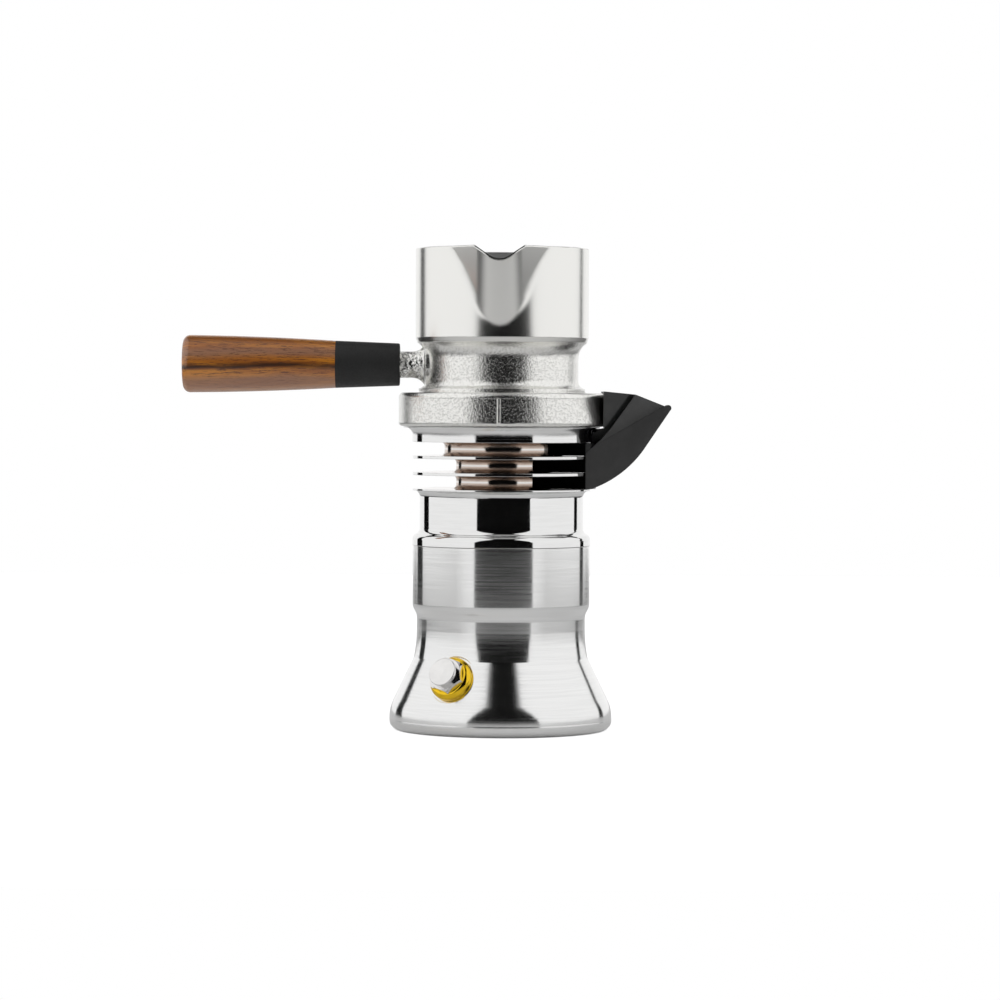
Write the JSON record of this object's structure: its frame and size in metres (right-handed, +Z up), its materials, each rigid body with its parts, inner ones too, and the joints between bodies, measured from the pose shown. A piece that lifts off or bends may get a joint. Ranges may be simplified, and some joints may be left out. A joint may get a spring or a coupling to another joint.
{
  "type": "stovetop espresso maker",
  "caption": "Stovetop espresso maker: flared pressure boiler with safety valve, finned upper body with funnel grip, and a spouted jug with wooden side handle on a bayonet.",
  "frame": {"origin": "centre of the boiler's flat underside, on the axis of boiler and jug", "axes": "+Z up along the axis, -X along the handle, +X along the grip, -Y the spout"},
  "size_m": [0.2086, 0.0954, 0.2056],
  "materials": {
    "turned_steel": "fine turned, satin",
    "polished_nickel": "polished",
    "cast_steel": "tumbled casting, satin cup",
    "steel_tube": "drawn",
    "steel_sheet": "pressed",
    "spring_steel": "bright",
    "yellow_brass": "bright yellow",
    "plated_brass": "nickel plated",
    "brass": "turned",
    "silicone": "matte",
    "black_plastic": "satin moulded",
    "black_sleeve": "matte",
    "walnut": "oiled walnut"
  },
  "bodies": {
    "boiler": {"lower_boiler": "turned_steel", "safety_valve_washer": "yellow_brass", "safety_valve_body": "plated_brass", "safety_valve_cap": "plated_brass", "safety_valve_spring": "spring_steel"},
    "relief_valve": {"safety_valve_poppet": "brass"},
    "seal_ring": {"boiler_seal_ring": "silicone"},
    "upper": {"upper_body": "polished_nickel", "riser_tube": "steel_tube", "brew_valve_seat": "brass", "brew_valve_spring": "spring_steel", "brew_valve_cap": "brass", "heat_exchanger_coil": "steel_tube", "brew_chamber_liner": "steel_sheet", "liner_seal": "silicone", "lower_shower_screen": "steel_sheet", "filter_basket": "steel_sheet", "filler_tube": "steel_tube", "filler_seal": "silicone", "grip": "black_plastic", "grip_screws": "spring_steel"},
    "brew_valve": {"brew_valve_poppet": "brass"},
    "jug_group": {"jug": "cast_steel", "group_gasket": "silicone", "upper_filter_screen": "steel_sheet", "coffee_outlet": "steel_tube", "coffee_outlet_cap": "steel_tube", "handle_ferrule": "black_sleeve", "handle_wood": "walnut", "handle_insert": "brass", "handle_stud": "spring_steel"}
  },
  "joints": [
    {"name": "body_turn", "type": "hinge", "parent": "boiler", "child": "seal_ring", "pos_m": [0, 0, 0.0787], "axis": [0, 0, 1], "range_deg": [0, 1080]},
    {"name": "body_rise", "type": "slide", "parent": "seal_ring", "child": "upper", "axis": [0, 0, 1], "range_m": [0, 0.006]},
    {"name": "jug_turn", "type": "hinge", "parent": "upper", "child": "jug_group", "pos_m": [0, 0, 0.13], "axis": [0, 0, 1], "range_deg": [0, 60]},
    {"name": "brew_valve_lift", "type": "slide", "parent": "upper", "child": "brew_valve", "axis": [0, 0, 1], "range_m": [0, 0.0015], "stiffness_N_per_m": 2500, "springref_m": -0.006, "deforming": ["brew_valve_spring"]},
    {"name": "safety_valve_lift", "type": "slide", "parent": "boiler", "child": "relief_valve", "axis": [-0.4511, -0.7813, 0.4313], "range_m": [0, 0.001], "stiffness_N_per_m": 4000, "springref_m": -0.0045, "deforming": ["safety_valve_spring"]}
  ],
  "couplings": [
    {"joint": "body_rise", "follows": "body_turn", "m_per_rad": 0.000318}
  ]
}
